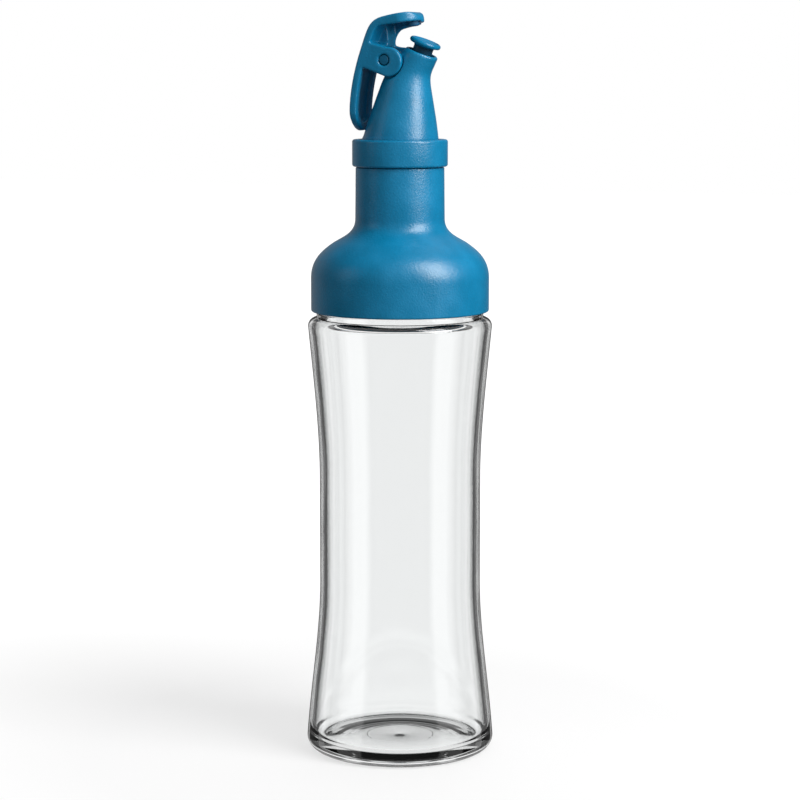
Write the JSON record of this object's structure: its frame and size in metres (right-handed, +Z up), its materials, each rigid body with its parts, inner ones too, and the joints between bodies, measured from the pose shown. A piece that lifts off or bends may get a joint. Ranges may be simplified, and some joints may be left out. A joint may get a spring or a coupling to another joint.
{
  "type": "oil dispenser bottle",
  "caption": "Waisted glass oil bottle with a screw-on plastic shoulder, a screwed collar holding a leaning pour spout, and a rocking lever that caps the pour lip.",
  "frame": {"origin": "centre of the bottle's foot, on the surface that it stands on", "axes": "+Z up along the bottle's axis, +X the way it pours, so that the hinge pin lies along Y"},
  "size_m": [0.072, 0.072, 0.282],
  "materials": {
    "clear_glass": "clear polished glass",
    "blue_plastic": "satin moulded polypropylene with a fine grained surface",
    "lip_plastic": "smooth satin polypropylene",
    "seal_pad": "matt silicone",
    "silicone": "translucent milky silicone"
  },
  "bodies": {
    "bottle": {"glass_bottle": "clear_glass"},
    "bottle_seal": {"bottle_gasket": "silicone"},
    "shoulder": {"shoulder_shell": "blue_plastic"},
    "spout": {"spout_body": "blue_plastic", "spout_gasket": "silicone", "pour_lip": "lip_plastic", "hinge_pin": "blue_plastic"},
    "collar": {"collar_ring": "blue_plastic"},
    "lever": {"lever": "blue_plastic", "lever_seal": "seal_pad"}
  },
  "joints": [
    {"name": "shoulder_rise", "type": "slide", "parent": "bottle", "child": "bottle_seal", "axis": [0, 0, 1], "range_m": [0, 0.0091]},
    {"name": "shoulder_turn", "type": "hinge", "parent": "bottle_seal", "child": "shoulder", "pos_m": [0, 0, 0.1754], "axis": [0, 0, 1], "range_deg": [0, 540]},
    {"name": "spout_rise", "type": "slide", "parent": "shoulder", "child": "spout", "axis": [0, 0, 1], "range_m": [0, 0.0046]},
    {"name": "collar_turn", "type": "hinge", "parent": "spout", "child": "collar", "pos_m": [0, 0, 0.2294], "axis": [0, 0, 1], "range_deg": [0, 540]},
    {"name": "lever_tilt", "type": "hinge", "parent": "spout", "child": "lever", "pos_m": [-0.0034, 0, 0.2642], "axis": [0, 1, 0], "range_deg": [0, 29]}
  ],
  "couplings": [
    {"joint": "shoulder_rise", "follows": "shoulder_turn", "m_per_rad": 0.00095493},
    {"joint": "spout_rise", "follows": "collar_turn", "m_per_rad": 0.00047746}
  ]
}
